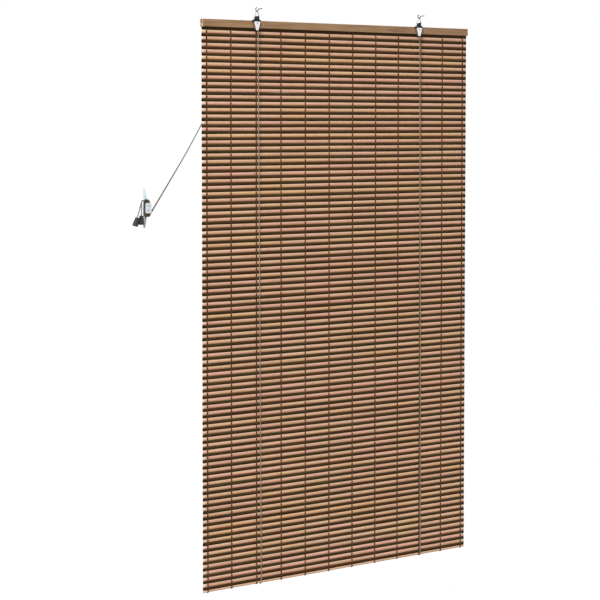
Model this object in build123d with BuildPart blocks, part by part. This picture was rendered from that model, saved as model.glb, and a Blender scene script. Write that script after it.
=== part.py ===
"""Bamboo roll-up blind with hook-hung pulleys, a wall cleat and tasselled pull cords.

Millimetres, +Z up. The origin lies on the wall, midway between the two hook shanks.
+X runs along the blind and +Y points from the wall into the room.
"""
import os
from math import asin, atan2, hypot, radians, tan

from build123d import *

os.makedirs("parts", exist_ok=True)

# Blind and header
blind_width = 1000.0
blind_height = 1600.0
blind_shift = 12.0
hook_spacing = 612.0
header_drop = 32.0
header_height = 21.0
header_front_y = 15.5
strip_thickness = 6.0
batten_thickness = 4.5
header_edge_radius = 1.2
cut_overrun = 2.0
seat_gap = 0.3
slip_clearance = 0.05

# Mat of light slats and dark sticks
mat_thickness = 4.0
stick_count = 88
stick_height_share = 0.5
light_crest_share = 0.72
groove_share = 0.22
head_tuck = 19.0
bottom_slat_height = 6.2
bottom_slat_inset = 0.2
bottom_slat_radius = 1.4

# Warp threads
thread_columns_per_side = 6
thread_spacing = 89.0
edge_thread_inset = 16.0
thread_width = 3.0
thread_thickness = 0.7
thread_knot_height = 1.9

# Header nails
nail_count = 7
nail_spacing = 140.0
nail_drop = 6.0
nail_radius = 0.8
nail_head_radius = 1.8
nail_head_thickness = 0.6
nail_end_wall = 1.5

# Cord
cord_radius = 1.3
cord_play = 0.1

# Pulley wheel and axle
wheel_drop = 40.0
wheel_thickness = 4.0
wheel_groove_radius = 5.4
wheel_flange_radius = 6.2
wheel_lip = 0.4
axle_radius = 1.5
axle_head_radius = 2.4
axle_head_thickness = 0.8
axle_seat_depth = 1.4

# Pulley housing
housing_front_y = 8.6
pocket_depth = 5.0
pocket_clearance = 1.0
cord_slot_width = 3.4
crown_half_width = 6.5
crown_drop = 26.8
shoulder_half_width = 14.0
shoulder_top_drop = 32.0
shoulder_low_drop = 34.3
plate_margin = 0.4
foot_extra = 0.6
shoulder_radius = 1.0
foot_radius = 2.4
lug_width = 12.0
lug_top_drop = 19.5
lug_front_y = 6.5
lug_depth = 7.0
lug_radius = 4.0
lug_overlap = 2.0
stake_drop = 53.0
stake_radius = 0.9
stake_proud = 0.4

# Pulley faceplate
plate_thickness = 0.9
plate_top_drop = 35.3
plate_bottom_drop = 59.2
plate_top_half_width = 11.0
plate_bottom_half_width = 4.0
plate_corner_radius = 1.2
plate_foot_radius = 3.0

# Screws that hold the housings, driven from behind the header strip
screw_offset_x = 8.8
screw_drop = 35.0
screw_radius = 1.0
screw_head_radius = 2.1
screw_head_height = 1.2
screw_bite = 5.0

# Hanging ring
ring_wire_radius = 0.9
ring_half_width = 9.3
ring_bar_drop = 23.5
ring_bar_clearance = 0.2
ring_corner_radius = 1.6

# Screw hook
hook_wire_radius = 1.3
hook_core_radius = 0.95
hook_thread_length = 18.0
hook_point_length = 4.0
hook_shank_length = 2.0
hook_cup_y = 10.0
hook_cup_back = 3.2
hook_cup_front = 3.6
hook_bulge = 1.6
hook_bulge_rise = 1.8
hook_tip_y = 11.0
hook_neck_radius = 3.0
hook_back_radius = 2.4
hook_front_radius = 2.6
hook_bulge_radius = 2.4
hook_cup_drop = 6.6
hook_tip_rise = 4.2
straight_rest = 0.05

# Cord guide through the header
guide_below_wheel = 6.6
guide_turn_radius = 3.0
guide_bore_radius = 1.8
guide_barrel_radius = 2.8
guide_flange_radius = 6.0
guide_flange_thickness = 1.5
guide_nose_length = 16.0
guide_bead_radius = 3.8
guide_bead_length = 1.3
guide_exit_radius = 2.9

# Lift cords
lift_sideways = 21.0

# Cleat
cleat_x = -682.0
cleat_z = -548.0
cleat_plate_width = 18.0
cleat_plate_height = 28.0
cleat_plate_thickness = 3.0
cleat_plate_radius = 4.0
cleat_edge_radius = 0.8
cleat_neck_width = 12.0
cleat_neck_height = 43.0
cleat_neck_length = 12.0
cleat_horn_reach = 54.5
cleat_horn_under_rise = 7.0
cleat_horn_bow_share = 0.3
cleat_horn_tip_thickness = 2.2
cleat_crown_height = 5.8
cleat_horn_root_width = 7.0
cleat_horn_tip_width = 3.6
cleat_hole_spacing = 13.0
cleat_hole_radius = 2.1
cleat_sink_radius = 3.8
cleat_sink_angle = 82.0

# Wraps on the cleat and the tails
wrap_gap = 0.2
wrap_first_y = 12.9
tail_fold_radius = 5.9
tail_fold_z = -527.0
tail_second_lean = 16.0
tail_hang_y = 8.4
tassel_left_top_z = -567.0
tassel_right_top_z = -571.0
sag_x = -482.0
sag_z = -330.0
sag_y = 31.9
sag_side_step = 2.2
sag_bend_share = 0.45

# Tassels
tassel_length = 25.5
tassel_top_radius = 5.3
tassel_bottom_radius = 8.1
tassel_crown_height = 1.5
tassel_hem_height = 2.0
tassel_cord_depth = 12.0

# Levels and planes that follow from the sizes above
header_top_z = -header_drop
header_bottom_z = header_top_z - header_height
blind_bottom_z = header_top_z - blind_height
mat_front_y = header_front_y + strip_thickness
mat_back_y = mat_front_y + mat_thickness
mat_mid_y = mat_front_y + mat_thickness / 2
batten_back_y = mat_back_y + batten_thickness
bottom_slat_top_z = blind_bottom_z + bottom_slat_height
mat_bottom_z = bottom_slat_top_z + seat_gap
wheel_z = -wheel_drop
wheel_y = housing_front_y + pocket_depth / 2
guide_z = wheel_z - guide_below_wheel
housing_back_y = header_front_y
nail_z = header_top_z - nail_drop
guide_flange_y = batten_back_y
guide_end_y = guide_flange_y + guide_nose_length
guide_exit_y = guide_end_y + guide_exit_radius
guide_rest_y = guide_end_y - guide_bead_length - cord_radius - cord_play
lift_front_y = mat_front_y - thread_thickness - cord_radius - slip_clearance
lift_back_y = mat_back_y + thread_thickness + cord_radius + slip_clearance
lift_under_z = blind_bottom_z - seat_gap - cord_radius
sides = {"left": -hook_spacing / 2, "right": hook_spacing / 2}
guide_xs = [hook_x - wheel_groove_radius for hook_x in sides.values()]
screw_steps = (-screw_offset_x, screw_offset_x)
screw_xs = [hook_x + step for hook_x in sides.values() for step in screw_steps]
thread_steps = [thread_spacing * (index + 1 / 2) for index in range(thread_columns_per_side - 1)]
thread_steps.append(blind_width / 2 - edge_thread_inset)
thread_xs = sorted(blind_shift + side * step for step in thread_steps for side in (-1, 1))
nail_start_x = blind_shift - nail_spacing * (nail_count - 1) / 2
nail_xs = [nail_start_x + nail_spacing * index for index in range(nail_count)]


def front_plane(x, y):
    """An upright plane at x and y that faces the wall: its local axes are X and Z."""
    return Plane(origin=(x, y, 0), x_dir=(1, 0, 0), z_dir=(0, -1, 0))


def side_plane(x):
    """An upright plane across the blind at x: its local axes are Y and Z."""
    return Plane(origin=(x, 0, 0), x_dir=(0, 1, 0), z_dir=(1, 0, 0))


def finish(piece, name):
    """Label one sub-part and write its STEP file."""
    piece.part.label = name
    export_step(piece.part, f"parts/{name}.step")


def drill(places, radius, start_y, end_y):
    """Cut round holes along Y in the part in hand, a slip fit for pins of that radius."""
    with BuildSketch(front_plane(0, start_y)) as holes:
        with Locations(*places):
            Circle(radius + slip_clearance)
    extrude(holes.sketch, amount=start_y - end_y, mode=Mode.SUBTRACT)


def cord_tube(route, radii, name):
    """Sweep the round cord along straight runs joined by arcs, and report its radii and volume."""
    with BuildPart() as cord:
        with BuildLine():
            path = FilletPolyline(*route, radius=radii)
        with BuildSketch(Plane(origin=path @ 0, z_dir=path % 0)) as section:
            Circle(cord_radius)
        sweep()
    finish(cord, name)
    ratio = cord.part.volume / (section.sketch.area * path.length)
    print(name, "length", round(path.length, 1), "volume ratio", round(ratio, 4))
    print("  radii", [round(radius, 2) for radius in radii])


# Header strip on the wall side, with its drilled and countersunk holes
guide_places = [(x, guide_z) for x in guide_xs]
nail_places = [(x, nail_z) for x in nail_xs]
screw_places = [(x, -screw_drop) for x in screw_xs]
with BuildPart() as header_strip:
    with BuildSketch(front_plane(blind_shift, header_front_y)):
        with Locations((0, header_top_z - header_height / 2)):
            Rectangle(blind_width, header_height)
    extrude(amount=-strip_thickness)
    fillet(header_strip.edges().filter_by(Axis.X).group_by(Axis.Y)[0], header_edge_radius)
    drill(guide_places, guide_barrel_radius, header_front_y - cut_overrun, mat_front_y + cut_overrun)
    drill(nail_places, nail_radius, header_front_y + nail_end_wall, mat_front_y + cut_overrun)
    for screw_x, screw_z in screw_places:
        with Locations(Plane(origin=(screw_x, mat_front_y, screw_z), z_dir=(0, 1, 0))):
            CounterSinkHole(screw_radius + slip_clearance, screw_head_radius + slip_clearance)
finish(header_strip, "header_strip")

# Header batten on the room side
with BuildPart() as header_batten:
    with BuildSketch(front_plane(blind_shift, mat_back_y)):
        with Locations((0, header_top_z - header_height / 2)):
            Rectangle(blind_width, header_height)
    extrude(amount=-batten_thickness)
    fillet(header_batten.edges().filter_by(Axis.X).group_by(Axis.Y)[-1], header_edge_radius)
    drill(guide_places, guide_barrel_radius, mat_back_y - cut_overrun, batten_back_y + cut_overrun)
    drill(nail_places, nail_radius, mat_back_y - cut_overrun, batten_back_y + cut_overrun)
finish(header_batten, "header_batten")

# Nails through the batten and the mat into the strip
with BuildPart() as header_nails:
    with BuildSketch(front_plane(0, header_front_y + nail_end_wall)):
        with Locations(*nail_places):
            Circle(nail_radius)
    extrude(amount=header_front_y + nail_end_wall - batten_back_y)
    with BuildSketch(front_plane(0, batten_back_y)):
        with Locations(*nail_places):
            Circle(nail_head_radius)
    extrude(amount=-nail_head_thickness)
finish(header_nails, "header_nails")

# Mat: one ridged wall, dark sticks standing proud of the light slats between them
row_span = header_bottom_z - mat_bottom_z
slat_share = 1 - stick_height_share
pitch = row_span / (stick_count - slat_share)
stick_height = pitch * stick_height_share
slat_height = pitch * slat_share
half_thickness = mat_thickness / 2
rows = []
row_top_z = header_bottom_z
for index in range(2 * stick_count - 1):
    is_stick = index % 2 == 0
    row_height = stick_height if is_stick else slat_height
    crest = half_thickness if is_stick else half_thickness * light_crest_share
    rows.append((row_top_z, row_top_z - row_height, crest))
    row_top_z -= row_height
groove = half_thickness * groove_share
with BuildPart() as slat_mat:
    with BuildSketch(side_plane(blind_shift)):
        with BuildLine():
            for face in (-1, 1):
                for top_z, low_z, crest in rows:
                    ThreePointArc(
                        (mat_mid_y + face * groove, top_z),
                        (mat_mid_y + face * crest, (top_z + low_z) / 2),
                        (mat_mid_y + face * groove, low_z),
                    )
                Line(
                    (mat_mid_y + face * groove, header_bottom_z),
                    (mat_mid_y + face * half_thickness, header_bottom_z),
                )
                Line(
                    (mat_mid_y + face * half_thickness, header_bottom_z),
                    (mat_mid_y + face * half_thickness, header_bottom_z + head_tuck),
                )
            Line((mat_front_y, header_bottom_z + head_tuck), (mat_back_y, header_bottom_z + head_tuck))
            Line((mat_mid_y - groove, rows[-1][1]), (mat_mid_y + groove, rows[-1][1]))
        make_face()
    extrude(amount=blind_width / 2, both=True)
    drill(guide_places, guide_barrel_radius, mat_front_y - cut_overrun, mat_back_y + cut_overrun)
    drill(nail_places, nail_radius, mat_front_y - cut_overrun, mat_back_y + cut_overrun)
finish(slat_mat, "slat_mat")

# Thin slat that closes the bottom edge
bottom_slat_thickness = mat_thickness - 2 * bottom_slat_inset
with BuildPart() as bottom_slat:
    with BuildSketch(side_plane(blind_shift)):
        with Locations((mat_mid_y, blind_bottom_z + bottom_slat_height / 2)):
            RectangleRounded(bottom_slat_thickness, bottom_slat_height, bottom_slat_radius)
    extrude(amount=blind_width / 2, both=True)
finish(bottom_slat, "bottom_slat")

# Warp threads: a band down each face, tied under the bottom slat
thread_low_z = blind_bottom_z - seat_gap - thread_knot_height
with BuildPart() as warp_threads:
    for thread_x in thread_xs:
        with BuildSketch(side_plane(thread_x)):
            for band_y in (mat_front_y - thread_thickness / 2, mat_back_y + thread_thickness / 2):
                with Locations((band_y, (header_bottom_z + thread_low_z) / 2)):
                    Rectangle(thread_thickness, header_bottom_z - thread_low_z)
            with Locations((mat_mid_y, thread_low_z + thread_knot_height / 2)):
                Rectangle(mat_thickness + thread_thickness, thread_knot_height)
        extrude(amount=thread_width / 2, both=True)
finish(warp_threads, "warp_threads")

# Screws from behind the strip into both housings
with BuildPart() as pulley_screws:
    for screw_x, screw_z in screw_places:
        with BuildSketch(Plane(origin=(screw_x, 0, screw_z))):
            with BuildLine():
                Polyline(
                    (0, mat_front_y),
                    (screw_head_radius, mat_front_y),
                    (screw_radius, mat_front_y - screw_head_height),
                    (screw_radius, header_front_y - screw_bite),
                    (0, header_front_y - screw_bite),
                    close=True,
                )
            make_face()
        revolve(axis=Axis((screw_x, 0, screw_z), (0, 1, 0)))
finish(pulley_screws, "pulley_screws")

pocket_back_y = housing_front_y + pocket_depth
housing_depth = housing_back_y - housing_front_y
slot_half = cord_slot_width / 2
waist_half_width = plate_top_half_width - plate_margin
foot_half_width = plate_bottom_half_width - plate_margin
foot_drop = plate_bottom_drop + foot_extra
ring_apex_radius = hook_wire_radius + ring_wire_radius + straight_rest
ring_rise = ring_bar_drop - hook_cup_drop
ring_side = hypot(ring_half_width, ring_rise)
ring_lean = atan2(ring_half_width, ring_rise) - asin(ring_apex_radius / ring_side)
ring_apex_z = -ring_bar_drop + ring_half_width / tan(ring_lean)

for side, hook_x in sides.items():
    # Moulded pulley housing: shield-shaped block with a lug, a wheel pocket and two cord slots
    with BuildPart() as housing:
        with BuildSketch(front_plane(hook_x, housing_front_y)) as shield:
            with BuildLine():
                Polyline(
                    (-crown_half_width, -crown_drop),
                    (crown_half_width, -crown_drop),
                    (shoulder_half_width, -shoulder_top_drop),
                    (shoulder_half_width, -shoulder_low_drop),
                    (waist_half_width, -plate_top_drop),
                    (foot_half_width, -foot_drop),
                    (-foot_half_width, -foot_drop),
                    (-waist_half_width, -plate_top_drop),
                    (-shoulder_half_width, -shoulder_low_drop),
                    (-shoulder_half_width, -shoulder_top_drop),
                    close=True,
                )
            make_face()
            fillet(shield.vertices().group_by(Axis.Y)[0], foot_radius)
            fillet(shield.vertices().group_by(Axis.X)[0], shoulder_radius)
            fillet(shield.vertices().group_by(Axis.X)[-1], shoulder_radius)
        extrude(amount=-housing_depth)
        lug_height = crown_drop - lug_top_drop
        with BuildSketch(front_plane(hook_x, lug_front_y)) as lug:
            with Locations((0, -lug_top_drop - (lug_height + lug_overlap) / 2)):
                Rectangle(lug_width, lug_height + lug_overlap)
            fillet(lug.vertices().group_by(Axis.Y)[-1], lug_radius)
        extrude(amount=-lug_depth)
        with BuildSketch(front_plane(hook_x, housing_front_y)):
            with Locations((0, wheel_z)):
                Circle(wheel_flange_radius + pocket_clearance)
            slot_low_z = -foot_drop - cut_overrun
            with Locations((wheel_groove_radius, (wheel_z + slot_low_z) / 2)):
                Rectangle(cord_slot_width, wheel_z - slot_low_z)
            exit_low_z = guide_z - slot_half
            with Locations((-wheel_groove_radius, (wheel_z + exit_low_z) / 2)):
                Rectangle(cord_slot_width, wheel_z - exit_low_z)
        extrude(amount=-pocket_depth, mode=Mode.SUBTRACT)
        hole_start_y = pocket_back_y - cut_overrun
        hole_end_y = housing_back_y + cut_overrun
        drill([(hook_x - wheel_groove_radius, guide_z)], slot_half, hole_start_y, hole_end_y)
        drill([(hook_x, wheel_z)], axle_radius, hole_start_y, pocket_back_y + axle_seat_depth)
        for step in screw_steps:
            drill([(hook_x + step, -screw_drop)], screw_radius, header_front_y - screw_bite, hole_end_y)
        with BuildSketch(side_plane(hook_x)):
            with Locations((hook_cup_y, -ring_bar_drop)):
                Circle(ring_wire_radius + ring_bar_clearance)
        extrude(amount=lug_width, both=True, mode=Mode.SUBTRACT)
        with BuildSketch(front_plane(hook_x, housing_front_y)):
            with Locations((0, -stake_drop)):
                Circle(stake_radius)
        extrude(amount=plate_thickness + stake_proud)
    finish(housing, f"pulley_housing_{side}")

    # Tapered steel faceplate over the wheel
    with BuildPart() as faceplate:
        with BuildSketch(front_plane(hook_x, housing_front_y)) as plate:
            with BuildLine():
                Polyline(
                    (-plate_top_half_width, -plate_top_drop),
                    (plate_top_half_width, -plate_top_drop),
                    (plate_bottom_half_width, -plate_bottom_drop),
                    (-plate_bottom_half_width, -plate_bottom_drop),
                    close=True,
                )
            make_face()
            fillet(plate.vertices().group_by(Axis.Y)[0], plate_foot_radius)
            fillet(plate.vertices().group_by(Axis.Y)[-1], plate_corner_radius)
            with Locations((0, wheel_z)):
                Circle(axle_radius + slip_clearance, mode=Mode.SUBTRACT)
            with Locations((0, -stake_drop)):
                Circle(stake_radius + slip_clearance, mode=Mode.SUBTRACT)
        extrude(amount=plate_thickness)
    finish(faceplate, f"pulley_faceplate_{side}")

    # Grooved wheel
    wheel_axis = Axis((hook_x, 0, wheel_z), (0, 1, 0))
    with BuildPart() as wheel:
        with BuildSketch(Plane(origin=(hook_x, wheel_y, wheel_z))):
            bore_radius = axle_radius + slip_clearance
            with Locations(((bore_radius + wheel_flange_radius) / 2, 0)):
                Rectangle(wheel_flange_radius - bore_radius, wheel_thickness)
            with Locations((wheel_groove_radius, 0)):
                Circle(cord_radius + cord_play, mode=Mode.SUBTRACT)
            with BuildLine():
                groove_mouth = wheel_thickness / 2 - wheel_lip
                Polyline(
                    (wheel_groove_radius, -cord_radius - cord_play),
                    (wheel_flange_radius, -groove_mouth),
                    (wheel_flange_radius, groove_mouth),
                    (wheel_groove_radius, cord_radius + cord_play),
                    close=True,
                )
            make_face(mode=Mode.SUBTRACT)
        revolve(axis=wheel_axis)
    finish(wheel, f"pulley_wheel_{side}")

    # Riveted axle with a low head on the faceplate
    plate_front_y = housing_front_y - plate_thickness
    with BuildPart() as axle:
        with BuildSketch(front_plane(hook_x, plate_front_y)):
            with Locations((0, wheel_z)):
                Circle(axle_radius)
        extrude(amount=plate_front_y - pocket_back_y - axle_seat_depth)
        with BuildSketch(front_plane(hook_x, plate_front_y)):
            with Locations((0, wheel_z)):
                Circle(axle_head_radius)
        extrude(amount=axle_head_thickness)
        fillet(axle.faces().sort_by(Axis.Y)[0].edges(), axle_head_thickness / 2)
    finish(axle, f"pulley_axle_{side}")

    # Triangular wire ring: its bar passes through the lug and its apex sits in the hook
    with BuildPart() as ring:
        with BuildLine() as loop:
            FilletPolyline(
                (hook_x, hook_cup_y, ring_apex_z),
                (hook_x + ring_half_width, hook_cup_y, -ring_bar_drop),
                (hook_x - ring_half_width, hook_cup_y, -ring_bar_drop),
                radius=[ring_apex_radius, ring_corner_radius, ring_corner_radius],
                close=True,
            )
        with BuildSketch(Plane(origin=loop.line @ 0, z_dir=loop.line % 0)):
            Circle(ring_wire_radius)
        sweep()
    finish(ring, f"hanging_ring_{side}")

    # Screw hook: pointed shank along Y and an open cup below it
    cup_back_y = hook_cup_y - hook_cup_back
    cup_front_y = hook_cup_y + hook_cup_front
    bulge_y = cup_front_y + hook_bulge
    with BuildPart() as hook:
        with BuildSketch(Plane(origin=(hook_x, 0, 0))):
            with BuildLine():
                Polyline(
                    (0, 0),
                    (hook_core_radius, 0),
                    (hook_core_radius, hook_point_length - hook_thread_length),
                    (0, -hook_thread_length),
                    close=True,
                )
            make_face()
        revolve(axis=Axis((hook_x, 0, 0), (0, 1, 0)))
        with BuildLine() as bend:
            FilletPolyline(
                (hook_x, 0, 0),
                (hook_x, hook_shank_length, 0),
                (hook_x, cup_back_y, -hook_cup_drop),
                (hook_x, cup_front_y, -hook_cup_drop),
                (hook_x, bulge_y, hook_bulge_rise),
                (hook_x, hook_tip_y, hook_tip_rise),
                radius=[hook_neck_radius, hook_back_radius, hook_front_radius, hook_bulge_radius],
            )
        with BuildSketch(Plane(origin=bend.line @ 0, z_dir=bend.line % 0)):
            Circle(hook_wire_radius)
        sweep()
        with Locations((hook_x, hook_tip_y, hook_tip_rise)):
            Sphere(hook_wire_radius)
    finish(hook, f"screw_hook_{side}")

    # Turned cord guide: barrel through the header, flange and grooved nose on the room side
    guide_x = hook_x - wheel_groove_radius
    with BuildPart() as guide:
        with BuildSketch(Plane(origin=(guide_x, 0, guide_z))):
            with BuildLine():
                Polyline(
                    (guide_bore_radius, header_front_y),
                    (guide_barrel_radius, header_front_y),
                    (guide_barrel_radius, guide_flange_y),
                    (guide_flange_radius, guide_flange_y),
                    (guide_flange_radius, guide_flange_y + guide_flange_thickness),
                    (guide_barrel_radius, guide_flange_y + guide_flange_thickness),
                    (guide_barrel_radius, guide_end_y - guide_bead_length),
                    (guide_bead_radius, guide_end_y - guide_bead_length),
                    (guide_bead_radius, guide_end_y),
                    (guide_bore_radius, guide_end_y),
                    close=True,
                )
            make_face()
        revolve(axis=Axis((guide_x, 0, guide_z), (0, 1, 0)))
    finish(guide, f"cord_guide_{side}")

    # Lift cord: down the wall side, under the bottom slat and up the room side to the batten
    lift_x = hook_x + lift_sideways
    under_radius = (lift_back_y - lift_front_y) / 2 - straight_rest
    cord_tube(
        [
            (hook_x + wheel_groove_radius, wheel_y, header_bottom_z),
            (lift_x, lift_front_y, lift_under_z),
            (lift_x, lift_back_y, lift_under_z),
            (lift_x, lift_back_y, header_bottom_z),
        ],
        [under_radius, under_radius],
        f"lift_cord_{side}",
    )

# Cleat: base plate, oblong neck and two horns that bend away from the wall
neck_end_y = cleat_plate_thickness + cleat_neck_length
crown_y = neck_end_y + cleat_crown_height
horn_under_y = neck_end_y + cleat_horn_under_rise
horn_bow_y = neck_end_y + cleat_horn_under_rise * cleat_horn_bow_share
horn_tip_y = horn_under_y + cleat_horn_tip_thickness
neck_half = cleat_neck_height / 2
with BuildPart() as cleat:
    with BuildSketch(side_plane(cleat_x)):
        with BuildLine():
            for way in (-1, 1):
                ThreePointArc(
                    (neck_end_y, cleat_z + way * (neck_half - cleat_neck_width / 2)),
                    (horn_bow_y, cleat_z + way * (neck_half + cleat_horn_reach) / 2),
                    (horn_under_y, cleat_z + way * cleat_horn_reach),
                )
                Line(
                    (horn_under_y, cleat_z + way * cleat_horn_reach),
                    (horn_tip_y, cleat_z + way * cleat_horn_reach),
                )
            ThreePointArc(
                (horn_tip_y, cleat_z - cleat_horn_reach),
                (crown_y, cleat_z),
                (horn_tip_y, cleat_z + cleat_horn_reach),
            )
            Line(
                (neck_end_y, cleat_z - neck_half + cleat_neck_width / 2),
                (neck_end_y, cleat_z + neck_half - cleat_neck_width / 2),
            )
        make_face()
    extrude(amount=cleat_neck_width / 2, both=True)
    with BuildSketch(front_plane(cleat_x, neck_end_y)):
        with BuildLine():
            for way in (-1, 1):
                ThreePointArc(
                    (way * cleat_horn_tip_width / 2, cleat_z - cleat_horn_reach),
                    (way * cleat_horn_root_width / 2, cleat_z),
                    (way * cleat_horn_tip_width / 2, cleat_z + cleat_horn_reach),
                )
                ThreePointArc(
                    (-cleat_horn_tip_width / 2, cleat_z + way * cleat_horn_reach),
                    (0, cleat_z + way * (cleat_horn_reach + cleat_horn_tip_thickness / 2)),
                    (cleat_horn_tip_width / 2, cleat_z + way * cleat_horn_reach),
                )
        make_face()
        with Locations((0, cleat_z)):
            SlotOverall(cleat_neck_height, cleat_neck_width, rotation=90)
    extrude(amount=neck_end_y - horn_tip_y, mode=Mode.INTERSECT)
    fillet(cleat.faces().sort_by(Axis.Y)[-1].edges(), cleat_edge_radius)
    with BuildSketch(front_plane(cleat_x, cleat_plate_thickness)):
        with Locations((0, cleat_z)):
            SlotOverall(cleat_neck_height, cleat_neck_width, rotation=90)
    extrude(amount=-cleat_neck_length)
    with BuildSketch(front_plane(cleat_x, 0)):
        with Locations((0, cleat_z)):
            RectangleRounded(cleat_plate_width, cleat_plate_height, cleat_plate_radius)
    extrude(amount=-cleat_plate_thickness)
    for step in (-cleat_hole_spacing / 2, cleat_hole_spacing / 2):
        with Locations(Plane(origin=(cleat_x, crown_y, cleat_z + step), z_dir=(0, 1, 0))):
            CounterSinkHole(cleat_hole_radius, cleat_sink_radius, counter_sink_angle=cleat_sink_angle)
finish(cleat, "cleat")

# Pull cords: over the wheels, through the guides, down to the cleat, round its neck and out to the tassels
wrap_step = 2 * cord_radius + wrap_gap
wrap_reach = cleat_neck_width / 2 + cord_radius + cord_play
wrap_radius = wrap_reach - straight_rest
wrap_top_z = cleat_z + neck_half - cleat_neck_width / 2 + wrap_reach
wrap_low_z = cleat_z - neck_half + cleat_neck_width / 2 - wrap_reach
wrap_right_x = cleat_x + wrap_reach
wrap_left_x = cleat_x - wrap_reach
over_wheel_radius = wheel_groove_radius - straight_rest
guide_round_radius = guide_barrel_radius + cord_radius + cord_play
left_guide_x = sides["left"] - wheel_groove_radius
fold_out_x = wrap_left_x - 2 * (tail_fold_radius + straight_rest)
cord_ends = {}
for side, hook_x in sides.items():
    wrap_y = wrap_first_y if side == "left" else wrap_first_y - wrap_step
    over_wheel = [
        (hook_x + wheel_groove_radius, wheel_y, header_bottom_z),
        (hook_x + wheel_groove_radius, wheel_y, wheel_z + wheel_groove_radius),
        (hook_x - wheel_groove_radius, wheel_y, wheel_z + wheel_groove_radius),
        (hook_x - wheel_groove_radius, wheel_y, guide_z),
        (hook_x - wheel_groove_radius, guide_exit_y, guide_z),
    ]
    radii = [over_wheel_radius, over_wheel_radius, guide_turn_radius, guide_exit_radius]
    if side == "left":
        across = [(sag_x, sag_y, sag_z)]
    else:
        descent = Vector(sag_x - left_guide_x, 0, sag_z - guide_z)
        turn = descent.get_angle(Vector(-1, 0, 0))
        round_x = left_guide_x - guide_round_radius * tan(radians(turn) / 2)
        across = [
            (round_x, guide_rest_y, guide_z + guide_round_radius),
            (sag_x - sag_side_step, sag_y - sag_side_step - cord_radius, sag_z + cord_radius),
        ]
        radii.append(guide_round_radius)
    tail_y = wrap_y - 2 * wrap_step
    wraps = [
        (wrap_right_x, wrap_y, wrap_low_z),
        (wrap_left_x, wrap_y, wrap_low_z),
        (wrap_left_x, wrap_y, wrap_top_z),
        (wrap_right_x, wrap_y, wrap_top_z),
        (wrap_right_x, tail_y, wrap_low_z),
        (wrap_left_x, tail_y, wrap_low_z),
    ]
    if side == "left":
        tail_end = (fold_out_x, tail_hang_y, tassel_left_top_z - tassel_cord_depth)
    else:
        tail_end = (fold_out_x - tail_second_lean, tail_hang_y, tassel_right_top_z - tassel_cord_depth)
    tail = [(wrap_left_x, tail_y, tail_fold_z), (fold_out_x, tail_y, tail_fold_z), tail_end]
    sag_point = Vector(*across[-1])
    run_before = sag_point - Vector(*(over_wheel + across)[-2])
    run_after = Vector(*wraps[0]) - sag_point
    sag_run = min(run_before.length, run_after.length)
    sag_turn = run_before.get_angle(run_after)
    radii.append(sag_bend_share * sag_run / tan(radians(sag_turn) / 2))
    radii += [wrap_radius] * len(wraps) + [tail_fold_radius] * (len(tail) - 1)
    route = over_wheel + across + wraps + tail
    cord_tube(route, radii, f"pull_cord_{side}")
    cord_ends[side] = (Vector(*route[-1]), (Vector(*route[-1]) - Vector(*route[-2])).normalized())

# Tassels: turned cones bored for the cord
for side, (cord_end, hang) in cord_ends.items():
    tassel_top = cord_end - hang * tassel_cord_depth
    outward = hang.cross(Vector(1, 0, 0)).normalized()
    tassel_plane = Plane(origin=tassel_top, x_dir=outward, z_dir=outward.cross(hang))
    with BuildPart() as tassel:
        with BuildSketch(tassel_plane):
            with BuildLine():
                Polyline(
                    (cord_radius + slip_clearance, 0),
                    (tassel_top_radius, tassel_crown_height),
                    (tassel_bottom_radius, tassel_length - tassel_hem_height),
                    (tassel_bottom_radius - tassel_hem_height / 2, tassel_length),
                    (0, tassel_length),
                    (0, tassel_cord_depth),
                    (cord_radius + slip_clearance, tassel_cord_depth),
                    close=True,
                )
            make_face()
        revolve(axis=Axis(tassel_plane.origin, hang))
    finish(tassel, f"tassel_{side}")
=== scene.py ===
"""Bamboo roll-up blind: slats, threads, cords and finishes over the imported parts, in metres."""
import math
import random

import bpy
import numpy as np
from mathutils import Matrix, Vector


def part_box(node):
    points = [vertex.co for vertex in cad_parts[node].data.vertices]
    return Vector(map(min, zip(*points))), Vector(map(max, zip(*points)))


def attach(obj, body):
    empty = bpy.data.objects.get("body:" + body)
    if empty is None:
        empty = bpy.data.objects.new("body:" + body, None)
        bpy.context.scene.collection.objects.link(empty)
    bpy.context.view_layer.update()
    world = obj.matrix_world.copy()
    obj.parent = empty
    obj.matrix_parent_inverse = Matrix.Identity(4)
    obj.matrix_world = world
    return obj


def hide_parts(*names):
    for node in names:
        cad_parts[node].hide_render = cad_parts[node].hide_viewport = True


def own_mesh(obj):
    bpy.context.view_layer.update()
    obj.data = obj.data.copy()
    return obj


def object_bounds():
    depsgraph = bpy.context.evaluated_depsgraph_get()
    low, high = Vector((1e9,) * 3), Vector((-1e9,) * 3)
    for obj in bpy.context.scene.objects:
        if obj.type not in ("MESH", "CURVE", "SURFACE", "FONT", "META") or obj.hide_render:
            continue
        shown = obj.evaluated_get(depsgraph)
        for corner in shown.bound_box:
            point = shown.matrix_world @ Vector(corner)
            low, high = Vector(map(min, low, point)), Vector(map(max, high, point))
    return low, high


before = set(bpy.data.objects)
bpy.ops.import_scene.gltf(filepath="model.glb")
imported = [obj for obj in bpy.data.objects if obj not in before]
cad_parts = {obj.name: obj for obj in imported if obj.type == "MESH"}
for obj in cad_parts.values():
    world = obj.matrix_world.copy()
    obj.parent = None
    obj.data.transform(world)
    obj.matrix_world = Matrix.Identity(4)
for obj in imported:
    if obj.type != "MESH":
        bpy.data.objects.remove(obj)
cad_low, cad_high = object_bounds()
MM = 0.001

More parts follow.
